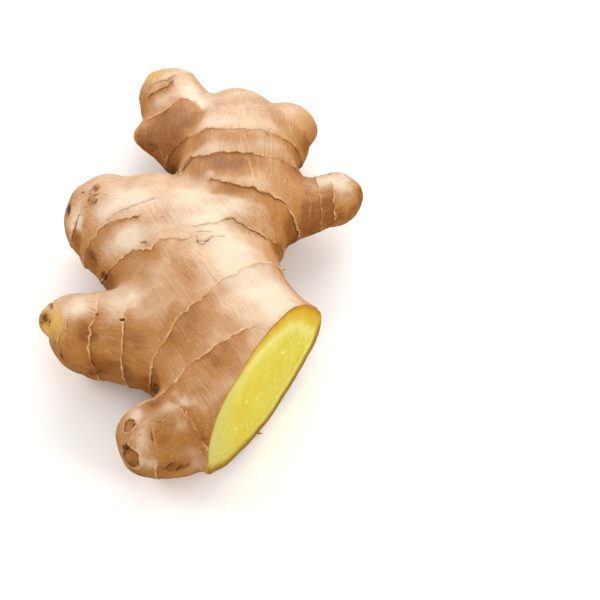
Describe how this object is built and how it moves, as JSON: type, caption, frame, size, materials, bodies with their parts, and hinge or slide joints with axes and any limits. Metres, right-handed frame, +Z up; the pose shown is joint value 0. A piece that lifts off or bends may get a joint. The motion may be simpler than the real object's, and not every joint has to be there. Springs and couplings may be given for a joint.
{
  "type": "ginger root",
  "caption": "Branching root of fresh ginger with knobbly fingers and pale ringed skin, one end cut off to show the yellow flesh.",
  "frame": {"origin": "middle of the outline seen from above, on the surface the root rests on", "axes": "+Z up out of the surface, +Y along the root towards the small knobs at its far end, +X towards the cut"},
  "size_m": [0.098, 0.1614, 0.0414],
  "materials": {
    "ginger_skin": "thin papery tan skin with a faint silky sheen, raised ring scars and lengthwise fibres",
    "ginger_flesh": "moist yellow cut flesh with a golden brown rim just under the skin"
  },
  "bodies": {
    "root": {"ginger_rhizome": "ginger_skin"}
  },
  "joints": []
}
